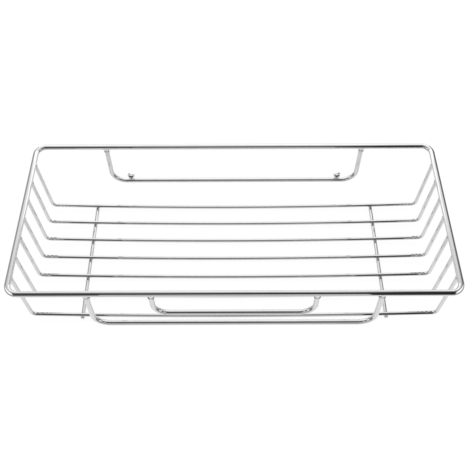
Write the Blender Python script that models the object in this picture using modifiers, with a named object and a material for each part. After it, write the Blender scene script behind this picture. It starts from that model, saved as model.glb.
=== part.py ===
"""Bathroom wall basket of welded wire, screwed to the wall through two small lugs.

Frame: +Z is up, +X runs to the right as seen from the front, and +Y points into the wall.
The wall is the plane Y = 0. The origin is midway between the two screw holes, on the wall.
"""

import math

import bpy
from mathutils import Vector

MM = 0.001

# Wire diameters
RIM_WIRE = 4.5 * MM
GUARD_WIRE = 4.0 * MM
THIN_WIRE = 3.0 * MM

# Rim, measured over the outside of its wire
BASKET_WIDTH = 330.0 * MM
BASKET_DEPTH = 145.0 * MM
RIM_CORNER_RADIUS = 8.0 * MM

# Floor wires, from the rim's axis down and inwards to the wire's own axis
FLOOR_DROP = 56.3 * MM
FLOOR_INSET = 3.4 * MM
FLOOR_BELLY = 3.8 * MM
FLOOR_BEND_RADIUS = 4.0 * MM
FLOOR_WIRE_COUNT = 7
REAR_SETBACK = 17.0 * MM
FRONT_SETBACK = 15.0 * MM

# Cross wires under the floor, inwards from its corners, and how far they pass its outer wires
CROSS_INSET = 38.7 * MM
CROSS_OVERHANG = 1.5 * MM

# Rear bracket and wide front guard share one bent shape, measured on the wire's axis
BRACKET_WIDTH = 212.0 * MM
BRACKET_DROP = 43.3 * MM
GUARD_BEND_RADIUS = 12.0 * MM

# Small front guard
SMALL_GUARD_WIDTH = 119.0 * MM
SMALL_GUARD_DROP = 27.5 * MM

# Screw lugs, flat rings that stand on the rear bracket, clear of its bends
LUG_CLEARANCE = 1.0 * MM
LUG_OUTER = 6.0 * MM
LUG_HOLE = 3.0 * MM
LUG_THICKNESS = 2.0 * MM
LUG_CHAMFER = 0.3 * MM

# Room left at each weld
WELD_GAP = 0.3 * MM

# Smoothness: steps in a quarter bend, spans along the belly, steps round a ring
BEND_STEPS = 6
RIM_CORNER_STEPS = 8
BELLY_SPANS = 10
RING_STEPS = 32
THIN_WIRE_RESOLUTION = 2
GUARD_WIRE_RESOLUTION = 4
RIM_WIRE_RESOLUTION = 4
MERGE_DISTANCE = 0.01 * MM

# Finish: polished chrome plate, a little duller on the lugs
CHROME_COLOUR = (0.64, 0.645, 0.65)
WIRE_ROUGHNESS = 0.07
LUG_ROUGHNESS = 0.15

# Places that follow from the sizes above
bracket_run_height = -(LUG_OUTER / 2 + WELD_GAP + GUARD_WIRE / 2)
rim_height = bracket_run_height + BRACKET_DROP
rim_rear = -RIM_WIRE / 2
rim_front = rim_rear - (BASKET_DEPTH - RIM_WIRE)
rim_half_width = (BASKET_WIDTH - RIM_WIRE) / 2
floor_half_width = rim_half_width - FLOOR_INSET
bracket_plane = -GUARD_WIRE / 2
cross_half_spread = floor_half_width - CROSS_INSET
lug_half_spread = BRACKET_WIDTH / 2 - GUARD_BEND_RADIUS - LUG_CLEARANCE - LUG_OUTER / 2


def remove_scene_objects():
    for obj in list(bpy.data.objects):
        bpy.data.objects.remove(obj, do_unlink=True)


def chrome(piece_name, roughness):
    """The chrome of one piece."""
    material = bpy.data.materials.new(f"{piece_name}_chrome")
    material.use_nodes = True
    shader = material.node_tree.nodes["Principled BSDF"]
    shader.inputs["Base Color"].default_value = (*CHROME_COLOUR, 1.0)
    shader.inputs["Roughness"].default_value = roughness
    shader.inputs["Metallic"].default_value = 1.0
    return material


def make_collection(name):
    collection = bpy.data.collections.new(name)
    bpy.context.scene.collection.children.link(collection)
    return collection


def place(obj, basket, location, roughness=WIRE_ROUGHNESS):
    """Puts a piece in the basket's collection, under its empty, with its own chrome."""
    basket.users_collection[0].objects.link(obj)
    obj.parent = basket
    obj.location = location
    obj.data.materials.append(chrome(obj.name, roughness))


def round_corner(before, corner, after, radius, steps):
    """Points of the arc that rounds one corner of a path."""
    to_before = (before - corner).normalized()
    to_after = (after - corner).normalized()
    half_angle = to_before.angle(to_after) / 2
    centre = corner + (to_before + to_after).normalized() * (radius / math.sin(half_angle))
    start = corner + to_before * (radius / math.tan(half_angle)) - centre
    end = corner + to_after * (radius / math.tan(half_angle)) - centre
    sweep = start.angle(end)
    points = []
    for step in range(steps + 1):
        share = step / steps
        weight_start = math.sin((1 - share) * sweep) / math.sin(sweep)
        weight_end = math.sin(share * sweep) / math.sin(sweep)
        points.append(centre + start * weight_start + end * weight_end)
    return points


def make_wire(name, points, diameter, resolution, closed=False):
    """A round wire along the points, with flat ends unless it closes on itself."""
    curve = bpy.data.curves.new(name, "CURVE")
    curve.dimensions = "3D"
    curve.bevel_depth = diameter / 2
    curve.bevel_resolution = resolution
    curve.use_fill_caps = not closed
    spline = curve.splines.new("POLY")
    spline.points.add(len(points) - 1)
    for spline_point, point in zip(spline.points, points):
        spline_point.co = (*point, 1.0)
    spline.use_cyclic_u = closed
    return bpy.data.objects.new(name, curve)


def rim_path():
    """The rim's closed rectangle about its own centre, its four corners rounded."""
    half_depth = (rim_rear - rim_front) / 2
    corners = [
        Vector((rim_half_width, half_depth, 0)),
        Vector((-rim_half_width, half_depth, 0)),
        Vector((-rim_half_width, -half_depth, 0)),
        Vector((rim_half_width, -half_depth, 0)),
    ]
    points = []
    for index, corner in enumerate(corners):
        before = corners[index - 1]
        after = corners[(index + 1) % len(corners)]
        points += round_corner(before, corner, after, RIM_CORNER_RADIUS, RIM_CORNER_STEPS)
    return points


def floor_height(x):
    """Height of a floor wire's axis below the rim's axis, where the floor bellies down."""
    return -FLOOR_DROP - FLOOR_BELLY * (1 - (x / floor_half_width) ** 2)


def floor_wire_path():
    """One floor wire: down a leg, across the bellied floor and up the other leg."""
    left_corner = Vector((-floor_half_width, 0, floor_height(floor_half_width)))
    right_corner = Vector((floor_half_width, 0, floor_height(floor_half_width)))
    left_rim = Vector((-rim_half_width, 0, 0))
    right_rim = Vector((rim_half_width, 0, 0))
    reach = RIM_WIRE / 2 + WELD_GAP
    left_top = left_rim + (left_corner - left_rim).normalized() * reach
    right_top = right_rim + (right_corner - right_rim).normalized() * reach
    belly = []
    for span in range(1, BELLY_SPANS):
        x = floor_half_width * (2 * span / BELLY_SPANS - 1)
        belly.append(Vector((x, 0, floor_height(x))))
    left_bend = round_corner(left_top, left_corner, belly[0], FLOOR_BEND_RADIUS, BEND_STEPS)
    right_bend = round_corner(belly[-1], right_corner, right_top, FLOOR_BEND_RADIUS, BEND_STEPS)
    return [left_top, *left_bend, *belly, *right_bend, right_top]


def hanging_path(width, drop):
    """A flat-bottomed U that hangs under the rim: leg, run and leg, its bends rounded."""
    top = -(RIM_WIRE / 2 + WELD_GAP)
    left_top = Vector((-width / 2, 0, top))
    left_corner = Vector((-width / 2, 0, -drop))
    right_corner = Vector((width / 2, 0, -drop))
    right_top = Vector((width / 2, 0, top))
    left_bend = round_corner(left_top, left_corner, right_corner, GUARD_BEND_RADIUS, BEND_STEPS)
    right_bend = round_corner(left_corner, right_corner, right_top, GUARD_BEND_RADIUS, BEND_STEPS)
    return [left_top, *left_bend, *right_bend, right_top]


def floor_wire_places():
    """Distances of the floor wires from the wall side, evenly pitched."""
    first = rim_rear - REAR_SETBACK
    last = rim_front + FRONT_SETBACK
    pitch = (last - first) / (FLOOR_WIRE_COUNT - 1)
    return [first + index * pitch for index in range(FLOOR_WIRE_COUNT)]


def make_rim(basket):
    rim = make_wire("rim", rim_path(), RIM_WIRE, RIM_WIRE_RESOLUTION, closed=True)
    place(rim, basket, (0, (rim_rear + rim_front) / 2, rim_height))


def make_floor_wires(basket):
    for index, y in enumerate(floor_wire_places(), start=1):
        name = f"floor_wire_{index}"
        wire = make_wire(name, floor_wire_path(), THIN_WIRE, THIN_WIRE_RESOLUTION)
        place(wire, basket, (0, y, rim_height))


def make_cross_wires(basket):
    places = floor_wire_places()
    half_length = (places[0] - places[-1]) / 2 + CROSS_OVERHANG
    middle = (places[0] + places[-1]) / 2
    height = rim_height + floor_height(cross_half_spread) - THIN_WIRE - WELD_GAP
    path = [Vector((0, half_length, 0)), Vector((0, -half_length, 0))]
    for side, x in (("left", -cross_half_spread), ("right", cross_half_spread)):
        wire = make_wire(f"cross_wire_{side}", path, THIN_WIRE, THIN_WIRE_RESOLUTION)
        place(wire, basket, (x, middle, height))


def make_hanging_wire(basket, name, width, drop, y):
    """A bracket or guard: one U-shaped wire that hangs under the rim in a plane of constant Y."""
    wire = make_wire(name, hanging_path(width, drop), GUARD_WIRE, GUARD_WIRE_RESOLUTION)
    place(wire, basket, (0, y, rim_height))


def lug_mesh():
    """Section of a flat ring in the XZ plane, chamfered, as a closed loop of edges."""
    outer = LUG_OUTER / 2
    inner = LUG_HOLE / 2
    half = LUG_THICKNESS / 2
    section = [
        (inner + LUG_CHAMFER, half),
        (outer - LUG_CHAMFER, half),
        (outer, half - LUG_CHAMFER),
        (outer, -half + LUG_CHAMFER),
        (outer - LUG_CHAMFER, -half),
        (inner + LUG_CHAMFER, -half),
        (inner, -half + LUG_CHAMFER),
        (inner, half - LUG_CHAMFER),
    ]
    points = [(x, 0, z) for x, z in section]
    edges = [(index, (index + 1) % len(points)) for index in range(len(points))]
    mesh = bpy.data.meshes.new("screw_lug")
    mesh.from_pydata(points, edges, [])
    return mesh


def make_lugs(basket):
    for side, x in (("left", -lug_half_spread), ("right", lug_half_spread)):
        lug = bpy.data.objects.new(f"screw_lug_{side}", lug_mesh())
        place(lug, basket, (x, -LUG_THICKNESS / 2, 0), LUG_ROUGHNESS)
        lug.rotation_euler = (math.pi / 2, 0, 0)
        turn = lug.modifiers.new("turn", "SCREW")
        turn.axis = "Z"
        turn.steps = RING_STEPS
        turn.render_steps = RING_STEPS
        turn.use_merge_vertices = True
        turn.merge_threshold = MERGE_DISTANCE
        turn.use_smooth_shade = False


def main():
    remove_scene_objects()
    collection = make_collection("bathroom_wall_basket")
    basket = bpy.data.objects.new("basket_origin", None)
    collection.objects.link(basket)
    make_rim(basket)
    make_floor_wires(basket)
    make_cross_wires(basket)
    make_hanging_wire(basket, "rear_bracket", BRACKET_WIDTH, BRACKET_DROP, bracket_plane)
    make_hanging_wire(basket, "front_guard_wide", BRACKET_WIDTH, BRACKET_DROP, rim_front)
    make_hanging_wire(basket, "front_guard_small", SMALL_GUARD_WIDTH, SMALL_GUARD_DROP, rim_front)
    make_lugs(basket)


main()
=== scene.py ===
"""Looks of the bathroom wall basket: bright chrome-plated wire, welded, and hung on two screw eyes."""
import math

import bpy
import numpy as np
from mathutils import Matrix, Vector


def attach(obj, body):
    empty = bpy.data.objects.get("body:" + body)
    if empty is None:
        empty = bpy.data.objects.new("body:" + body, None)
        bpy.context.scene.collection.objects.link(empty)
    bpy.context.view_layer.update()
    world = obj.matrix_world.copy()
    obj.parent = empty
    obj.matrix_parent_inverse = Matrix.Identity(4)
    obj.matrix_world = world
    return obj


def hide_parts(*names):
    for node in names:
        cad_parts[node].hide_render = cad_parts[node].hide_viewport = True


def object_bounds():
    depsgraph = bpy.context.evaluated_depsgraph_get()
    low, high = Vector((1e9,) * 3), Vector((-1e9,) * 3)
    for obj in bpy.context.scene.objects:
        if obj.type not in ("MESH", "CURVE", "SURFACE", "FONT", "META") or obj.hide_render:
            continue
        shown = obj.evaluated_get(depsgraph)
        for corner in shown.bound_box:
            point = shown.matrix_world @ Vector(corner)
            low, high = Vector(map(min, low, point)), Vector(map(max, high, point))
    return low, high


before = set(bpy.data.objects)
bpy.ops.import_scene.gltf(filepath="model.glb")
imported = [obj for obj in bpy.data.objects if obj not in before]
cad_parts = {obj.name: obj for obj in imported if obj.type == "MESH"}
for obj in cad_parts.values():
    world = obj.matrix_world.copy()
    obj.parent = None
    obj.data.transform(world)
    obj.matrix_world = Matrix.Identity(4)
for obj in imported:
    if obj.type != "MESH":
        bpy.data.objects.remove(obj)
cad_low, cad_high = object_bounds()

MM = 0.001

# The three wires, and the gap that stands for a weld between two of them
RIM_RADIUS = 2.25 * MM
GUARD_RADIUS = 2.0 * MM
THIN_RADIUS = 1.5 * MM
WELD_GAP = 0.3 * MM

# Rim
RIM_HALF_WIDTH = 162.75 * MM
RIM_REAR = -2.25 * MM
RIM_FRONT = -142.75 * MM
RIM_HEIGHT = 38.0 * MM
RIM_CORNER = 8.0 * MM

# Floor wires and the two wires that cross under them
FLOOR_HALF_WIDTH = 159.35 * MM
FLOOR_DROP = 56.3 * MM
FLOOR_BELLY = 3.8 * MM
FLOOR_BEND = 4.0 * MM
FLOOR_FLAT_SHARE = 0.97
FLOOR_PLACES = np.linspace(-19.25, -127.75, 7) * MM
CROSS_SPREAD = 120.65 * MM
CROSS_OVERHANG = 1.5 * MM

# Rear bracket and the two front guards
BRACKET_PLANE = -2.0 * MM
BRACKET_HALF = 106.0 * MM
BRACKET_RUN = -5.3 * MM
GUARD_BEND = 12.0 * MM
SMALL_HALF = 59.5 * MM
SMALL_RUN = 10.5 * MM

# Screw eyes on the bracket
EYE_SPREAD = 90.0 * MM
EYE_OUTER = 3.0 * MM
EYE_HOLE = 1.5 * MM
EYE_THICK = 2.0 * MM
EYE_EDGE = 0.35 * MM

# How finely a piece is drawn
LONGEST_STEP = 6.0 * MM
CUT_EDGE = 0.35 * MM
CUT_RINGS = 7
BEND_STEPS = 20
HANG_STEPS = 60
BELLY_POINTS = 65
EDGE_POINTS = 6
COLLAR_RINGS = 25
PINCH_RINGS = 13
RIM_SIDES = 48
GUARD_SIDES = 40
THIN_SIDES = 32
WELD_SIDES = 32
EYE_SIDES = 64

# Weld beads: how far they swell, how tall they are, and how deep they bite into the wire they meet
HANG_BEAD = (0.6 * MM, 0.42 * MM)
HANG_TALL = 3.0 * MM
LEG_BEAD = (0.35 * MM, 0.35 * MM)
LEG_TALL = 1.6 * MM
CROSS_BEAD = (1.1 * MM, 1.1 * MM)
CROSS_WAIST = 0.62
EYE_BEAD = (0.75 * MM, 0.65 * MM)
EYE_WAIST = 0.75
BITE = 0.04 * MM
CAP_DEPTH = 5 * BITE
COLLAR_CAP = np.linspace(0.9, 0.1, 4)[:, None]
PINCH_CAP = np.linspace(0.85, 0.1, 4)[:, None]
LOPSIDED = 0.3
WELD_SEED = 7
WELD_COUNT = 36
HEAT_REACH = 2.2 * MM

# Metal pushed up inside the bends of the hanging wires: its height, its reach, and its place on the bend
UPSET_HIGH = 0.26 * MM
UPSET_REACH = 1.3 * MM
UPSET_TURN = math.radians(28)
UPSET_FORWARD = 0.7 * MM

X, Y, Z = np.eye(3)


# Lines that the wires follow

def unit(vector):
    return vector / np.linalg.norm(vector)


def point(x, y, z):
    return np.array([x, y, z], float)


def mirrored(spot):
    return spot * (-1, 1, 1)


def bend(before, corner, after, radius, steps=BEND_STEPS):
    """Arc that rounds a corner: the two tangent points swing round the arc's centre, blended by sines."""
    to_before, to_after = unit(before - corner), unit(after - corner)
    half = math.acos(float(to_before @ to_after)) / 2
    centre = corner + unit(to_before + to_after) * radius / math.sin(half)
    start = corner + to_before * radius / math.tan(half) - centre
    end = corner + to_after * radius / math.tan(half) - centre
    sweep = math.pi - 2 * half
    share = np.linspace(0, 1, steps + 1)[:, None]
    return centre + (start * np.sin((1 - share) * sweep) + end * np.sin(share * sweep)) / math.sin(sweep)


def filled(line, closed=False):
    """The same line with more points, evenly spread on every stretch longer than LONGEST_STEP."""
    ends = np.vstack([line[1:], line[:1]]) if closed else line[1:]
    starts = line if closed else line[:-1]
    parts = []
    for start, end in zip(starts, ends):
        count = max(1, math.ceil(np.linalg.norm(end - start) / LONGEST_STEP))
        parts.append(start + (end - start) * (np.arange(count) / count)[:, None])
    if not closed:
        parts.append(line[-1:])
    return np.vstack(parts)


def rim_line():
    """Closed rectangle in the plane of the rim, its four corners rounded."""
    corners = [
        point(RIM_HALF_WIDTH, RIM_REAR, RIM_HEIGHT),
        point(-RIM_HALF_WIDTH, RIM_REAR, RIM_HEIGHT),
        point(-RIM_HALF_WIDTH, RIM_FRONT, RIM_HEIGHT),
        point(RIM_HALF_WIDTH, RIM_FRONT, RIM_HEIGHT),
    ]
    arcs = [bend(corners[i - 1], corners[i], corners[(i + 1) % 4], RIM_CORNER) for i in range(4)]
    return filled(np.vstack(arcs), closed=True)


def floor_height(x):
    """Height of a floor wire's axis: a parabola that hangs FLOOR_BELLY below its ends."""
    return RIM_HEIGHT - FLOOR_DROP - FLOOR_BELLY * (1 - (x / FLOOR_HALF_WIDTH) ** 2)


def floor_line(y):
    """Down one leg, round a tight bend, along the bellied floor and up the other leg."""
    left = point(-FLOOR_HALF_WIDTH, y, floor_height(FLOOR_HALF_WIDTH))
    left_rim = point(-RIM_HALF_WIDTH, y, RIM_HEIGHT)
    left_top = left_rim + unit(left - left_rim) * (RIM_RADIUS + WELD_GAP)
    x = np.linspace(-FLOOR_FLAT_SHARE, FLOOR_FLAT_SHARE, BELLY_POINTS) * FLOOR_HALF_WIDTH
    belly = np.stack([x, np.full_like(x, y), floor_height(x)], 1)
    left_bend = bend(left_top, left, belly[0], FLOOR_BEND)
    right_bend = mirrored(left_bend[::-1])
    return filled(np.vstack([left_top, left_bend, belly, right_bend, mirrored(left_top)]))


def hanging_line(half_width, run_height, y):
    """A flat-bottomed U under the rim: leg, run and leg with rounded bends."""
    top = point(-half_width, y, RIM_HEIGHT - RIM_RADIUS - WELD_GAP)
    corner = point(-half_width, y, run_height)
    left = bend(top, corner, mirrored(corner), GUARD_BEND, HANG_STEPS)
    return filled(np.vstack([top, left, mirrored(left[::-1]), mirrored(top)]))


def bend_spot(half_width, run_height, y):
    """Place on the inner side of a hanging wire's left bend, UPSET_TURN up from its run."""
    inner = GUARD_BEND - GUARD_RADIUS
    x = GUARD_BEND - half_width - inner * math.sin(UPSET_TURN)
    z = GUARD_BEND + run_height - inner * math.cos(UPSET_TURN)
    return point(x, y - UPSET_FORWARD, z)


def cross_axis(x):
    """Height of a cross wire's axis, under the floor wires."""
    return floor_height(x) - 2 * THIN_RADIUS - WELD_GAP


def cross_line(x):
    """Straight line under the floor wires, front to back, a little past the outer ones."""
    front = point(x, FLOOR_PLACES[-1] - CROSS_OVERHANG, cross_axis(x))
    rear = point(x, FLOOR_PLACES[0] + CROSS_OVERHANG, cross_axis(x))
    return filled(np.vstack([front, rear]))


# Surfaces

def tube_rings(line, radius, plane, sides, closed=False):
    """Rings of a round wire: a circle across the line at each point, in the frame of the line's plane.

    A point of a ring is centre + radius (cos t * sideways + sin t * plane normal). At a cut end the circle
    first shrinks along a quarter round, so that the sheared edge is soft.
    """
    if closed:
        ahead = np.roll(line, -1, 0) - np.roll(line, 1, 0)
        size = np.full(len(line), radius)
    else:
        turn = np.linspace(0, math.pi / 2, CUT_RINGS)
        shrink = radius - CUT_EDGE * (1 - np.sin(turn))
        back = (CUT_EDGE - CUT_EDGE * np.cos(turn))[:, None]
        first, last = unit(line[1] - line[0]), unit(line[-1] - line[-2])
        line = np.vstack([line[0] + first * back, line[1:-1], line[-1] - last * back[::-1]])
        size = np.concatenate([shrink, np.full(len(line) - 2 * CUT_RINGS, radius), shrink[::-1]])
        ahead = np.gradient(line, axis=0)
        ahead[:CUT_RINGS], ahead[-CUT_RINGS:] = first, last
    ahead /= np.linalg.norm(ahead, axis=1, keepdims=True)
    sideways = np.cross(plane, ahead)
    angle = np.linspace(0, 2 * math.pi, sides, endpoint=False)[None, :, None]
    across = np.cos(angle) * sideways[:, None] + np.sin(angle) * plane
    return line[:, None] + size[:, None, None] * across


def upset_rings(rings, spots):
    """Rings of a hanging wire with metal pushed up by the bending tool.

    Round each spot a point moves out from the axis by UPSET_HIGH exp(-(gap / UPSET_REACH)^2), where gap is
    its distance from the spot.
    """
    outwards = (rings - rings.mean(1, keepdims=True)) / GUARD_RADIUS
    for spot in spots:
        gap = np.linalg.norm(rings - spot, axis=2, keepdims=True)
        rings = rings + outwards * UPSET_HIGH * np.exp(-((gap / UPSET_REACH) ** 2))
    return rings


def eye_rings(x):
    """Flat ring round the screw hole: a rounded rectangle turned round the hole's axis.

    The section's corners are quarter rounds. A point is x + r cos t, y, r sin t, with r and y from the
    section.
    """
    turn = np.linspace(0, math.pi / 2, EDGE_POINTS)
    arc_r, arc_y = EYE_EDGE * np.cos(turn), EYE_EDGE * np.sin(turn)
    outer = EYE_OUTER - EYE_EDGE
    inner = EYE_HOLE + EYE_EDGE
    half = EYE_THICK / 2 - EYE_EDGE
    r = np.concatenate([outer + arc_r, inner - arc_r[::-1], inner - arc_r, outer + arc_r[::-1]])
    y = np.concatenate([half + arc_y, half + arc_y[::-1], -half - arc_y, -half - arc_y[::-1]])
    y = y - EYE_THICK / 2
    angle = np.linspace(0, 2 * math.pi, EYE_SIDES, endpoint=False)[:, None]
    return np.stack([x + r * np.cos(angle), y + 0 * angle, r * np.sin(angle)], -1)


def collar_rings(contact, leg, rim_way, leg_radius, bead, tall, lean):
    """Swollen end of a wire under the rim: a bead pressed out of the wire, then a flare on to the rim.

    contact is on the rim's axis and leg points up to it. Over a share s of the height, the reach is the
    wire's radius + bead (sin squared of 2 pi s) in the lower half and + bead (2 s - 1) squared in the upper
    half. The bead is an oval with one size along the rim and one across it, thicker towards the angle lean.
    It is flat where it would stand out past the rim.
    """
    across = np.cross(leg, rim_way)
    angle = np.linspace(0, 2 * math.pi, WELD_SIDES, endpoint=False)
    share = np.linspace(0, 1, COLLAR_RINGS)[:, None]
    swell = np.where(share < 0.5, np.sin(2 * math.pi * share) ** 2, (2 * share - 1) ** 2)
    swell = swell * (1 + LOPSIDED * np.cos(angle - lean))
    side = (leg_radius + bead[0] * swell) * np.cos(angle)
    depth = (leg_radius + bead[1] * swell) * np.sin(angle)
    depth = np.clip(depth, -RIM_RADIUS, RIM_RADIUS)
    low = -(RIM_RADIUS + WELD_GAP + tall)
    rim_face = BITE - np.sqrt(RIM_RADIUS ** 2 - depth[-1] ** 2)
    rise = low + (rim_face - low) * share
    side = np.vstack([side[:1] * COLLAR_CAP[::-1], side, side[-1:] * COLLAR_CAP])
    depth = np.vstack([depth[:1] * COLLAR_CAP[::-1], depth, depth[-1:] * COLLAR_CAP])
    lower_cap = np.full((len(COLLAR_CAP), WELD_SIDES), low)
    upper_cap = rise[-1:] * COLLAR_CAP + rim_face.min() / 2 * (1 - COLLAR_CAP)
    rise = np.vstack([lower_cap, rise, upper_cap])
    return contact + side[..., None] * rim_way + depth[..., None] * across + rise[..., None] * leg


def wire_face(wire, x, y, side):
    """Height of a level wire's upper (side 1) or lower (side -1) face: axis + side sqrt(radius^2 - gap^2).

    gap is how far x or y lies from the wire's middle.
    """
    axis, radius, middle, across = wire
    gap = (x, y)[across] - middle
    return axis + side * np.sqrt(np.maximum(radius ** 2 - gap ** 2, 0))


def pinch_rings(x, y, under, over, bead, waist, lean):
    """Metal squeezed out where one wire lies on another: a short pillar that flares on to both of them.

    A wire is its axis height, its radius, the middle that its section is measured from, and 0 or 1 for x or
    y. The reach is full at both faces and waist times that half way up, following a parabola, and it is
    longer towards the angle lean.
    """
    angle = np.linspace(0, 2 * math.pi, WELD_SIDES, endpoint=False)
    share = np.linspace(0, 1, PINCH_RINGS)[:, None]
    wide = waist + (1 - waist) * (2 * share - 1) ** 2
    uneven = 1 + LOPSIDED / 2 * np.cos(angle - lean)
    foot_x, foot_y = bead[0] * uneven * np.cos(angle), bead[1] * uneven * np.sin(angle)
    base = wire_face(under, x + foot_x, y + foot_y, 1) - BITE
    top = wire_face(over, x + foot_x, y + foot_y, -1) + BITE
    reach = np.vstack([PINCH_CAP[::-1], wide, PINCH_CAP])
    deep = CAP_DEPTH * np.ones_like(PINCH_CAP)
    rise = np.vstack([base - deep, base + (top - base) * share, top + deep])
    return np.stack([x + foot_x * reach, y + foot_y * reach, rise], -1)


def ring_faces(rings, closed):
    """Points, quads and end triangles through rings of points, with a map along the rings and round them.

    rings is an array (ring, place round the ring, xyz). An open end is closed with triangles to its middle.
    """
    count, sides = rings.shape[:2]
    index = np.arange(count * sides).reshape(count, sides)
    lower = index if closed else index[:-1]
    upper = np.roll(index, -1, 0) if closed else index[1:]
    quads = np.stack([lower, np.roll(lower, -1, 1), np.roll(upper, -1, 1), upper], -1).reshape(-1, 4)
    middles = rings.mean(1)
    steps = np.linalg.norm(np.diff(middles, axis=0, append=middles[:1]), axis=1)
    along = np.concatenate([[0], np.cumsum(steps)])[:count + 1 if closed else count]
    halfway = rings[count // 2]
    girth = np.linalg.norm(halfway - np.roll(halfway, 1, 0), axis=1).sum()
    round_way = np.arange(sides + 1) / sides * girth
    u0, v0 = np.meshgrid(round_way[:-1], along[:-1])
    u1, v1 = np.meshgrid(round_way[1:], along[1:])
    quad_map = np.stack([u0, v0, u1, v0, u1, v1, u0, v1], -1).reshape(-1, 2)
    points = rings.reshape(-1, 3)
    if closed:
        return points, quads, np.empty((0, 3), int), quad_map
    left, right = round_way[:-1], round_way[1:]
    middle = (left + right) / 2
    start, end = np.zeros(sides), np.full(sides, along[-1])
    pole = np.full(sides, count * sides)
    first = np.stack([np.roll(index[0], -1), index[0], pole], 1)
    last = np.stack([index[-1], np.roll(index[-1], -1), pole + 1], 1)
    first_map = np.stack([right, start, left, start, middle, start], 1).reshape(-1, 2)
    last_map = np.stack([left, end, right, end, middle, end], 1).reshape(-1, 2)
    points = np.vstack([points, middles[:1], middles[-1:]])
    return points, quads, np.vstack([first, last]), np.vstack([quad_map, first_map, last_map])


def make_piece(name, forms, material, node=None, closed=False):
    """One piece from its forms' rings, in place of its solid if it has one, riding on the basket."""
    points, faces, places = [], [], []
    start = 0
    for rings in forms:
        form_points, quads, caps, form_map = ring_faces(rings, closed)
        points.append(form_points)
        faces += (quads + start).tolist() + (caps + start).tolist()
        places.append(form_map)
        start += len(form_points)
    mesh = bpy.data.meshes.new(name)
    mesh.from_pydata(np.vstack(points).tolist(), [], faces)
    mesh.polygons.foreach_set("use_smooth", np.ones(len(faces), bool))
    mesh.uv_layers.new(name="wire_map").data.foreach_set("uv", np.vstack(places).ravel())
    mesh.materials.append(material)
    piece = bpy.data.objects.new(name, mesh)
    bpy.context.scene.collection.objects.link(piece)
    if node:
        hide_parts(node)
    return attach(piece, "root")


def mark_heat(piece, spots):
    """Weld heat on each point: falls off as a bell with the distance to the nearest weld."""
    mesh = piece.data
    places = np.empty(len(mesh.vertices) * 3)
    mesh.vertices.foreach_get("co", places)
    gaps = np.linalg.norm(places.reshape(-1, 1, 3) - spots[None], axis=2).min(1)
    heat = mesh.attributes.new("weld_heat", "FLOAT", "POINT")
    heat.data.foreach_set("value", np.exp(-((gaps / HEAT_REACH) ** 2)).astype(np.float32))


# Shader sums

class Value:
    """A number or colour in a material. Arithmetic on it adds the Math nodes that work it out."""

    def __init__(self, recipe, socket):
        self.recipe = recipe
        self.socket = socket

    def math(self, operation, *terms):
        return self.recipe.node("ShaderNodeMath", {"operation": operation}, dict(enumerate(terms)))

    def __add__(self, other):
        return self.math("ADD", self, other)

    def __sub__(self, other):
        return self.math("SUBTRACT", self, other)

    def __rsub__(self, other):
        return self.math("SUBTRACT", other, self)

    def __mul__(self, other):
        return self.math("MULTIPLY", self, other)

    def __neg__(self):
        return self.math("MULTIPLY", self, -1.0)

    def __pow__(self, power):
        return self.math("POWER", self, power)

    def __abs__(self):
        return self.math("ABSOLUTE", self)

    __radd__, __rmul__ = __add__, __mul__

    def step(self, low, high):
        """0 below low, 1 above high, smooth between."""
        settings = {"interpolation_type": "SMOOTHSTEP"}
        sockets = {"Value": self, "From Min": low, "From Max": high}
        return self.recipe.node("ShaderNodeMapRange", settings, sockets)

    def fade(self, low, high):
        """1 below low, 0 above high, smooth between."""
        return 1.0 - self.step(low, high)

    def rise(self, low, high, size):
        """0 below low, size above high, smooth between."""
        return self.step(low, high) * size


class Recipe:
    """Builds the nodes of one material or world."""

    def __init__(self, owner):
        owner.use_nodes = True
        self.tree = owner.node_tree
        self.tree.nodes.clear()

    def node(self, kind, settings=None, sockets=None, out=0):
        """Adds a node: its settings first, then its sockets' values or links. Gives the named output."""
        made = self.tree.nodes.new(kind)
        for key, setting in (settings or {}).items():
            setattr(made, key, setting)
        for key, worth in (sockets or {}).items():
            if isinstance(worth, Value):
                self.tree.links.new(worth.socket, made.inputs[key])
            else:
                made.inputs[key].default_value = worth
        return Value(self, made.outputs[out]) if len(made.outputs) else made

    def noise(self, place, scale, detail):
        return self.node("ShaderNodeTexNoise", {}, {"Vector": place, "Scale": scale, "Detail": detail})

    def blend(self, share, first, second):
        """Colour between two. A Mix node takes colours in sockets 6 and 7 and gives one in output 2."""
        return self.node("ShaderNodeMix", {"data_type": "RGBA"}, {0: share, 6: first, 7: second}, out=2)

    def axes(self, vector):
        """The x, y and z of a vector."""
        split = self.node("ShaderNodeSeparateXYZ", {}, {0: vector}).socket.node
        return [Value(self, split.outputs[axis]) for axis in "XYZ"]

    def rays(self, *names):
        """Whether the light path is of each named kind."""
        path = self.node("ShaderNodeLightPath").socket.node
        return [Value(self, path.outputs[name]) for name in names]


def grey(level):
    return (level, level, level, 1.0)


# Finishes

# Clouds, fine specks and drawing lines: how close they lie, per metre
CLOUD_SCALE = 55.0
SPECK_SCALE = 900.0
DRAWN_SCALE = (6000.0, 60.0, 1.0)

# How much clouds, drawing lines, weld heat and the painted shade inside the screw eye's hole change the
# tone, the roughness and the relief
CLOUD_TONE = 0.5
HEAT_TONE = 0.8
DULL_SHARE = 0.55
HOLE_SHADE_TONE = 0.05
CLOUD_ROUGH = 0.04
DRAWN_ROUGH = 0.03
HEAT_ROUGH = 0.2
HOLE_SHADE_ROUGH = 0.3
DRAWN_RELIEF = 0.4
SPECK_RELIEF = 0.6
HEAT_RELIEF = 2.0
RELIEF_STRENGTH = 0.05
RELIEF_DEPTH = 0.00002
BORE_FADE = (EYE_HOLE + 0.1 * MM, EYE_HOLE + 0.4 * MM)


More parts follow.
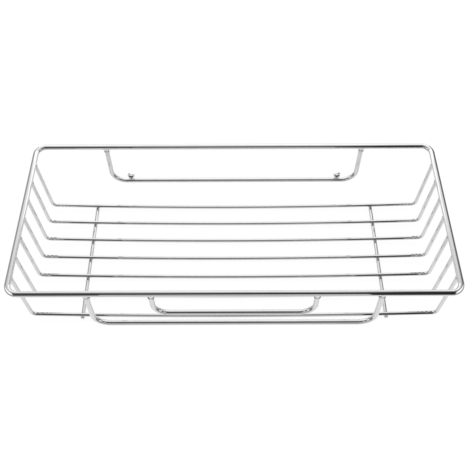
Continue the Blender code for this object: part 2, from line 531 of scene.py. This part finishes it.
def chrome(name, tone, rough, painted_shade=None):
    """Chrome plate: faint clouds, drawing lines along the wire, and duller where a weld heated it.

    The last argument works out, from the place, where the plate gets painted shade: a dark colour and more
    roughness.
    """
    material = bpy.data.materials.new(name)
    recipe = Recipe(material)
    place = recipe.node("ShaderNodeTexCoord", out="Object")
    clouds = recipe.noise(place, CLOUD_SCALE, 3.0)
    specks = recipe.noise(place, SPECK_SCALE, 2.0)
    wire = recipe.node("ShaderNodeUVMap", {"uv_map": "wire_map"})
    drawn = recipe.node("ShaderNodeMapping", {}, {"Vector": wire, "Scale": DRAWN_SCALE})
    lines = recipe.noise(drawn, 1.0, 2.0)
    heat = recipe.node("ShaderNodeAttribute", {"attribute_name": "weld_heat"}, out="Fac")
    dulled = (clouds - 0.5) * CLOUD_TONE + heat * HEAT_TONE
    colour = recipe.blend(dulled, grey(tone), grey(tone * DULL_SHARE))
    rough = rough + (clouds - 0.5) * CLOUD_ROUGH + (lines - 0.5) * DRAWN_ROUGH + heat * HEAT_ROUGH
    # Painted shade: darker and rougher where the mask says, standing in for the shade inside the screw hole
    if painted_shade:
        hole_shade = painted_shade(*recipe.axes(place))
        colour = recipe.blend(hole_shade, colour, grey(HOLE_SHADE_TONE))
        rough = rough + hole_shade * HOLE_SHADE_ROUGH
    relief = lines * DRAWN_RELIEF + specks * SPECK_RELIEF + heat * specks * HEAT_RELIEF
    sockets = {"Strength": RELIEF_STRENGTH, "Distance": RELIEF_DEPTH, "Height": relief}
    bump = recipe.node("ShaderNodeBump", {}, sockets)
    sockets = {"Base Color": colour, "Metallic": 1.0, "Roughness": rough, "Normal": bump}
    plate = recipe.node("ShaderNodeBsdfPrincipled", {}, sockets)
    recipe.node("ShaderNodeOutputMaterial", {}, {"Surface": plate})
    return material


def bore_shade_mask(x, y, z):
    """Painted shade in the screw eye's hole: 1 in the hole, and 0 from its rounded edge outwards."""
    radius = ((abs(x) - EYE_SPREAD) ** 2.0 + z ** 2.0) ** 0.5
    return radius.fade(*BORE_FADE)


rim_chrome = chrome("bright_chrome_rim", tone=0.70, rough=0.045)
guard_chrome = chrome("bright_chrome_guard", tone=0.70, rough=0.045)
thin_chrome = chrome("bright_chrome_thin_wire", tone=0.70, rough=0.045)
# The screw eye's chrome carries painted shade inside its hole
eye_chrome = chrome("plain_chrome_screw_eye", tone=0.80, rough=0.12, painted_shade=bore_shade_mask)
weld_chrome = chrome("plated_weld", tone=0.68, rough=0.08)

# The basket, piece by piece

rings = tube_rings(rim_line(), RIM_RADIUS, Z, RIM_SIDES, closed=True)
pieces = [make_piece("rim_wire", [rings], rim_chrome, "rim", closed=True)]
for number, y in enumerate(FLOOR_PLACES, 1):
    name, node = f"floor_rod_{number}", f"floor_wire_{number}"
    rings = tube_rings(floor_line(y), THIN_RADIUS, -Y, THIN_SIDES)
    pieces.append(make_piece(name, [rings], thin_chrome, node))
for side, way in (("left", -1), ("right", 1)):
    name, node = f"cross_rod_{side}", f"cross_wire_{side}"
    rings = tube_rings(cross_line(way * CROSS_SPREAD), THIN_RADIUS, X, THIN_SIDES)
    pieces.append(make_piece(name, [rings], thin_chrome, node))
    name, node = f"screw_eye_{side}", f"screw_lug_{side}"
    rings = eye_rings(way * EYE_SPREAD)
    pieces.append(make_piece(name, [rings], eye_chrome, node, closed=True))
for name, node, half_width, run, y in (
    ("rear_hanger", "rear_bracket", BRACKET_HALF, BRACKET_RUN, BRACKET_PLANE),
    ("wide_front_loop", "front_guard_wide", BRACKET_HALF, BRACKET_RUN, RIM_FRONT),
    ("small_front_loop", "front_guard_small", SMALL_HALF, SMALL_RUN, RIM_FRONT),
):
    spot = bend_spot(half_width, run, y)
    rings = tube_rings(hanging_line(half_width, run, y), GUARD_RADIUS, -Y, GUARD_SIDES)
    rings = upset_rings(rings, [spot, mirrored(spot)])
    pieces.append(make_piece(name, [rings], guard_chrome, node))

# Welds, each a bead on the two wires that it joins

leg_way = unit(point(FLOOR_HALF_WIDTH - RIM_HALF_WIDTH, 0, FLOOR_DROP))
hang_places = [(BRACKET_HALF, RIM_REAR), (BRACKET_HALF, RIM_FRONT), (SMALL_HALF, RIM_FRONT)]
rim_beads, hang_beads, cross_beads, eye_beads = [], [], [], []
spots = []
leans = iter(np.random.default_rng(WELD_SEED).uniform(0, 2 * math.pi, WELD_COUNT))
for way in (-1, 1):
    leg = leg_way * (-way, 1, 1)
    x_cross, x_eye = way * CROSS_SPREAD, way * EYE_SPREAD
    for y in FLOOR_PLACES:
        on_rim = point(way * RIM_HALF_WIDTH, y, RIM_HEIGHT)
        rim_beads.append(collar_rings(on_rim, leg, Y, THIN_RADIUS, LEG_BEAD, LEG_TALL, next(leans)))
        under = (cross_axis(x_cross), THIN_RADIUS, x_cross, 0)
        over = (floor_height(x_cross), THIN_RADIUS, y, 1)
        cross_beads.append(pinch_rings(x_cross, y, under, over, CROSS_BEAD, CROSS_WAIST, next(leans)))
        spots.append(point(x_cross, y, floor_height(x_cross) - THIN_RADIUS))
    for half_width, y in hang_places:
        on_rim = point(way * half_width, y, RIM_HEIGHT)
        hang_beads.append(collar_rings(on_rim, Z, -X, GUARD_RADIUS, HANG_BEAD, HANG_TALL, next(leans)))
    run = (BRACKET_RUN, GUARD_RADIUS, BRACKET_PLANE, 1)
    eye = (0.0, EYE_OUTER, x_eye, 0)
    eye_beads.append(pinch_rings(x_eye, -EYE_THICK / 2, run, eye, EYE_BEAD, EYE_WAIST, next(leans)))
pieces += [
    make_piece("rim_side_welds", rim_beads, weld_chrome),
    make_piece("hanging_wire_welds", hang_beads, weld_chrome),
    make_piece("crossing_welds", cross_beads, weld_chrome),
    make_piece("screw_eye_welds", eye_beads, weld_chrome),
]
for piece in pieces:
    mark_heat(piece, np.array(spots))


# Studio

# Pale floor: half its width, its gap under the basket, its tone, and the share of it that is plain white
GROUND_HALF = 3.0
GROUND_GAP = 0.2 * MM
GROUND_TONE = 0.95
GROUND_WHITE = 0.93

# Side cards: distance from the middle, front, back and top, levels, and the bright patch at the front
SIDE_CARD = 0.3
SIDE_FRONT = -0.25
SIDE_BACK = 0.26
SIDE_TOP = 0.30
RIGHT_LEVEL = 0.18
RIGHT_PATCH = 1.2
LEFT_LEVEL = 0.42
LEFT_PATCH = 1.1
LEFT_SHADE = 0.2
PATCH_FORWARD = (0.06, 0.12)
PATCH_UP = (0.035, 0.065)

# Overhead card: half width, front, back and height, then its level and where it rises
OVERHEAD_CARD = (0.3, -0.32, 0.3, 0.26)
OVERHEAD_LEVEL = 0.03
OVERHEAD_NEAR = (-0.26, 0.04, 0.97)
OVERHEAD_FAR = (0.11, 0.19, 0.45)
OVERHEAD_RIGHT = (0.1, 0.22, 0.09)
OVERHEAD_LEFT = (0.08, 0.2, 0.03)

# Upright cards in front and behind: half width, place in depth, foot and top, then their levels
FRONT_CARD = (0.1285, -0.302, 0.0, 0.117)
FRONT_LEVEL = 0.2
FRONT_RISE = (-0.02, 0.06, 0.5)
REAR_CARD = (0.17, 0.014, 0.042, 0.079)
REAR_LEVEL = 1.5

# Dark camera side of the room, by the height of a direction in degrees: 0 in front, 90 straight up.
# It starts and ends later or earlier at the right and the left.
DARK_START = 5.0
DARK_START_RIGHT = (0.12, 0.2, 20.0)
DARK_START_LEFT = (0.15, 0.3, 4.0)
DARK_START_SOFT = (-6.0, 6.0)
DARK_END = 78.0
DARK_END_RIGHT = (0.0, 0.14, 8.0)
DARK_END_SOFT = (-24.0, 20.0)
DARK_WIDTH = (0.5, 0.68)
DARK_LEVEL = 0.03
DARK_LEVEL_LEFT = (0.1, 0.3, 0.08)

# The rest of the room: above and below the horizon, the dark line at the wall's foot, and low at both sides
ABOVE_LEVEL = 0.95
ABOVE_WALL = (100.0, 130.0, 0.5)
BELOW_LEVEL = 0.6
BELOW_DEEP = (0.15, 0.95, 0.4)
HORIZON_WALL = (0.0, 0.3, 0.3)
HORIZON_SOFT = (-0.1, 0.1)
FOOT_TOP = (0.0, 0.05)
FOOT_LOW = (0.18, 0.25)
FOOT_BACK = (0.4, 0.6)
FOOT_ENDS = (0.35, 0.55)
FOOT_SHADE = 0.85
ASIDE_START = (0.42, 0.56)
ASIDE_BACK = (0.25, 0.42)
ASIDE_TOP = (0.05, 0.2)
ASIDE_LOW = (0.45, 0.58)
ASIDE_SHADE = 0.65

# Softbox
SOFTBOX_SIZE = (1.2, 0.8)
SOFTBOX_POWER = 6.0
SOFTBOX_PLACE = (-0.2, 0.3, 1.2)
SOFTBOX_AIM = (0, -0.07, 0)

# Camera, fitted to the photograph: its lens in pixels of a picture 470 pixels wide
CAMERA_RISE = math.radians(54.84)
CAMERA_ROLL = math.radians(-0.2)
CAMERA_LENS = 686.33
PICTURE_WIDTH = 470
CAMERA_DISTANCE = 528.32 * MM
CAMERA_RIGHT = 0.763 * MM
CAMERA_UP = -15.79 * MM
CAMERA_NEAR = 0.01
CAMERA_FAR = 20.0


def stage_sheet(name, corners, material):
    """A flat sheet of the studio through its corners."""
    mesh = bpy.data.meshes.new(name)
    mesh.from_pydata(corners, [], [tuple(range(len(corners)))])
    mesh.materials.append(material)
    sheet = bpy.data.objects.new(name, mesh)
    bpy.context.scene.collection.objects.link(sheet)
    return sheet


def level_corners(half_width, front, back, height):
    return [(-half_width, front, height), (half_width, front, height),
            (half_width, back, height), (-half_width, back, height)]


def upright_corners(half_width, y, low, top):
    return [(-half_width, y, low), (half_width, y, low), (half_width, y, top), (-half_width, y, top)]


def side_corners(x):
    low = cad_low.z
    return [(x, SIDE_FRONT, low), (x, SIDE_BACK, low), (x, SIDE_BACK, SIDE_TOP), (x, SIDE_FRONT, SIDE_TOP)]


def pale_floor():
    """Wide pale floor under the basket. It reads white, and keeps a faint soft shadow."""
    material = bpy.data.materials.new("pale_floor")
    recipe = Recipe(material)
    camera, glossy, clear = recipe.rays("Is Camera Ray", "Is Glossy Ray", "Is Transmission Ray")
    direct = camera.math("MINIMUM", camera + glossy + clear, 1.0)
    matt = recipe.node("ShaderNodeBsdfDiffuse", {}, {"Color": grey(GROUND_TONE)})
    white = recipe.node("ShaderNodeEmission", {}, {"Color": grey(1.0), "Strength": 1.0})
    mixed = recipe.node("ShaderNodeMixShader", {}, {0: direct * GROUND_WHITE, 1: matt, 2: white})
    recipe.node("ShaderNodeOutputMaterial", {}, {"Surface": mixed})
    corners = level_corners(GROUND_HALF, -GROUND_HALF, GROUND_HALF, cad_low.z - GROUND_GAP)
    floor = stage_sheet("pale_floor", corners, material)
    floor.visible_glossy = False


def card(name, corners, level):
    """Card beside the basket, seen only in the chrome. level is its brightness, or gives it at a place."""
    material = bpy.data.materials.new(name)
    recipe = Recipe(material)
    if callable(level):
        level = level(*recipe.axes(recipe.node("ShaderNodeTexCoord", out="Object")))
    glow = recipe.node("ShaderNodeEmission", {}, {"Color": grey(1.0), "Strength": level})
    recipe.node("ShaderNodeOutputMaterial", {}, {"Surface": glow})
    sheet = stage_sheet(name, corners, material)
    sheet.visible_camera = False
    sheet.visible_diffuse = False
    sheet.visible_shadow = False


def overhead_level(x, y, z):
    """Dark on the camera's side, brighter in two rises towards the wall, a little later at both ends."""
    y = y - x.rise(*OVERHEAD_RIGHT) - (-x).rise(*OVERHEAD_LEFT)
    return OVERHEAD_LEVEL + y.rise(*OVERHEAD_NEAR) + y.rise(*OVERHEAD_FAR)


def right_level(x, y, z):
    """Dark, with a bright patch above the front of the basket."""
    return RIGHT_LEVEL + (-y).step(*PATCH_FORWARD) * z.step(*PATCH_UP) * RIGHT_PATCH


def left_level(x, y, z):
    """Grey, darker low down at the front and bright above that."""
    return LEFT_LEVEL + (-y).step(*PATCH_FORWARD) * (z.step(*PATCH_UP) * LEFT_PATCH - LEFT_SHADE)


def front_level(x, y, z):
    """Dark at the foot, mid grey further up."""
    return FRONT_LEVEL + z.rise(*FRONT_RISE)


def room():
    """White room for the camera. Chrome sees a bright wall, a dark camera side and a paler floor."""
    world = bpy.data.worlds.new("room")
    bpy.context.scene.world = world
    recipe = Recipe(world)
    x, y, z = recipe.axes(recipe.node("ShaderNodeTexCoord", out="Generated"))
    height = z.math("ARCTAN2", z, -y) * (180 / math.pi)
    dark_start = DARK_START - x.rise(*DARK_START_RIGHT) - (-x).rise(*DARK_START_LEFT)
    dark_end = DARK_END + x.rise(*DARK_END_RIGHT)
    dark = (height - dark_start).step(*DARK_START_SOFT) * (height - dark_end).fade(*DARK_END_SOFT)
    dark = dark * abs(x).fade(*DARK_WIDTH)
    above = ABOVE_LEVEL + height.rise(*ABOVE_WALL)
    below = BELOW_LEVEL + (-z).rise(*BELOW_DEEP)
    horizon = (z + y.rise(*HORIZON_WALL)).step(*HORIZON_SOFT)
    around = above * horizon + below * (1 - horizon)
    seen = around * (1 - dark) + dark * (DARK_LEVEL + (-x).rise(*DARK_LEVEL_LEFT))
    foot = (-z).step(*FOOT_TOP) * (-z).fade(*FOOT_LOW) * y.step(*FOOT_BACK) * abs(x).fade(*FOOT_ENDS)
    seen = seen * (1 - foot * FOOT_SHADE)
    aside = abs(x).step(*ASIDE_START) * y.fade(*ASIDE_BACK) * (-z).step(*ASIDE_TOP) * (-z).fade(*ASIDE_LOW)
    seen = seen * (1 - aside * ASIDE_SHADE)
    glossy, = recipe.rays("Is Glossy Ray")
    strength = seen * glossy + (1 - glossy)
    light = recipe.node("ShaderNodeBackground", {}, {"Color": grey(1.0), "Strength": strength})
    recipe.node("ShaderNodeOutputWorld", {}, {"Surface": light})


def softbox():
    """One wide soft lamp above and behind the basket, for the faint shadow."""
    light = bpy.data.lights.new("softbox", "AREA")
    light.shape = "RECTANGLE"
    light.size, light.size_y = SOFTBOX_SIZE
    light.energy = SOFTBOX_POWER
    lamp = bpy.data.objects.new("softbox", light)
    bpy.context.scene.collection.objects.link(lamp)
    lamp.location = SOFTBOX_PLACE
    lamp.rotation_euler = (Vector(SOFTBOX_AIM) - lamp.location).to_track_quat("-Z", "Y").to_euler()
    lamp.visible_glossy = False


def photo_camera():
    """Camera at the photograph's angle, from the fit of the wires' lines to the picture."""
    back = Vector((0, -math.cos(CAMERA_RISE), math.sin(CAMERA_RISE)))
    level = Vector((1, 0, 0))
    up = back.cross(level)
    right = level * math.cos(CAMERA_ROLL) + up * math.sin(CAMERA_ROLL)
    upright = up * math.cos(CAMERA_ROLL) - level * math.sin(CAMERA_ROLL)
    centre = Vector((0, (RIM_REAR + RIM_FRONT) / 2, RIM_HEIGHT))
    place = centre + back * CAMERA_DISTANCE + right * CAMERA_RIGHT + upright * CAMERA_UP
    data = bpy.data.cameras.new("photo_camera")
    camera = bpy.data.objects.new("photo_camera", data)
    bpy.context.scene.collection.objects.link(camera)
    turned = Matrix((right, upright, back)).transposed().to_4x4()
    camera.matrix_world = Matrix.Translation(place) @ turned
    data.lens = CAMERA_LENS / PICTURE_WIDTH * data.sensor_width
    data.clip_start = CAMERA_NEAR
    data.clip_end = CAMERA_FAR
    bpy.context.scene.camera = camera


pale_floor()
card("dark_card_right", side_corners(SIDE_CARD), right_level)
card("grey_card_left", side_corners(-SIDE_CARD), left_level)
card("overhead_card", level_corners(*OVERHEAD_CARD), overhead_level)
card("front_card", upright_corners(*FRONT_CARD), front_level)
card("rear_card", upright_corners(*REAR_CARD), REAR_LEVEL)
room()
softbox()
photo_camera()
bpy.context.scene.view_settings.view_transform = "Standard"
